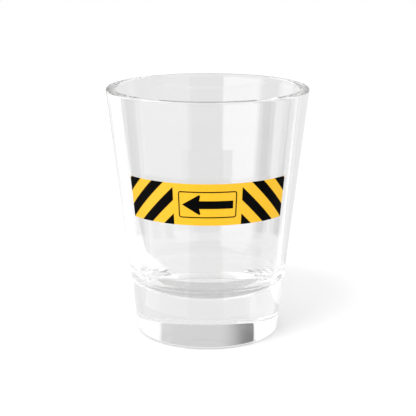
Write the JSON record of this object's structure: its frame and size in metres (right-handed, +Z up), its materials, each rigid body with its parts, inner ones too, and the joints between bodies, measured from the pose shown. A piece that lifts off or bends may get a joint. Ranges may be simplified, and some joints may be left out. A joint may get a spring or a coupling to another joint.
{
  "type": "shot glass",
  "caption": "Heavy-based clear shot glass with a tapering wall, a rounded rim and a printed yellow and black band with an arrow between slanted stripes.",
  "frame": {"origin": "centre of the glass's foot, on the table", "axes": "+Z up along the glass's axis, towards the rim; -Y is the side that the arrow faces; +X is to the right of someone who looks at the arrow, so the arrow points to -X"},
  "size_m": [0.0484, 0.0484, 0.06],
  "materials": {
    "clear_glass": "clear, pressed and fire-polished",
    "white_ink": "opaque cured ink, satin",
    "yellow_ink": "opaque cured ink, gloss",
    "black_ink": "opaque cured ink, gloss"
  },
  "bodies": {
    "root": {"glass": "clear_glass", "white_base": "white_ink", "yellow_band": "yellow_ink", "left_stripes": "black_ink", "right_stripes": "black_ink", "arrow": "black_ink", "arrow_frame": "black_ink"}
  },
  "joints": []
}
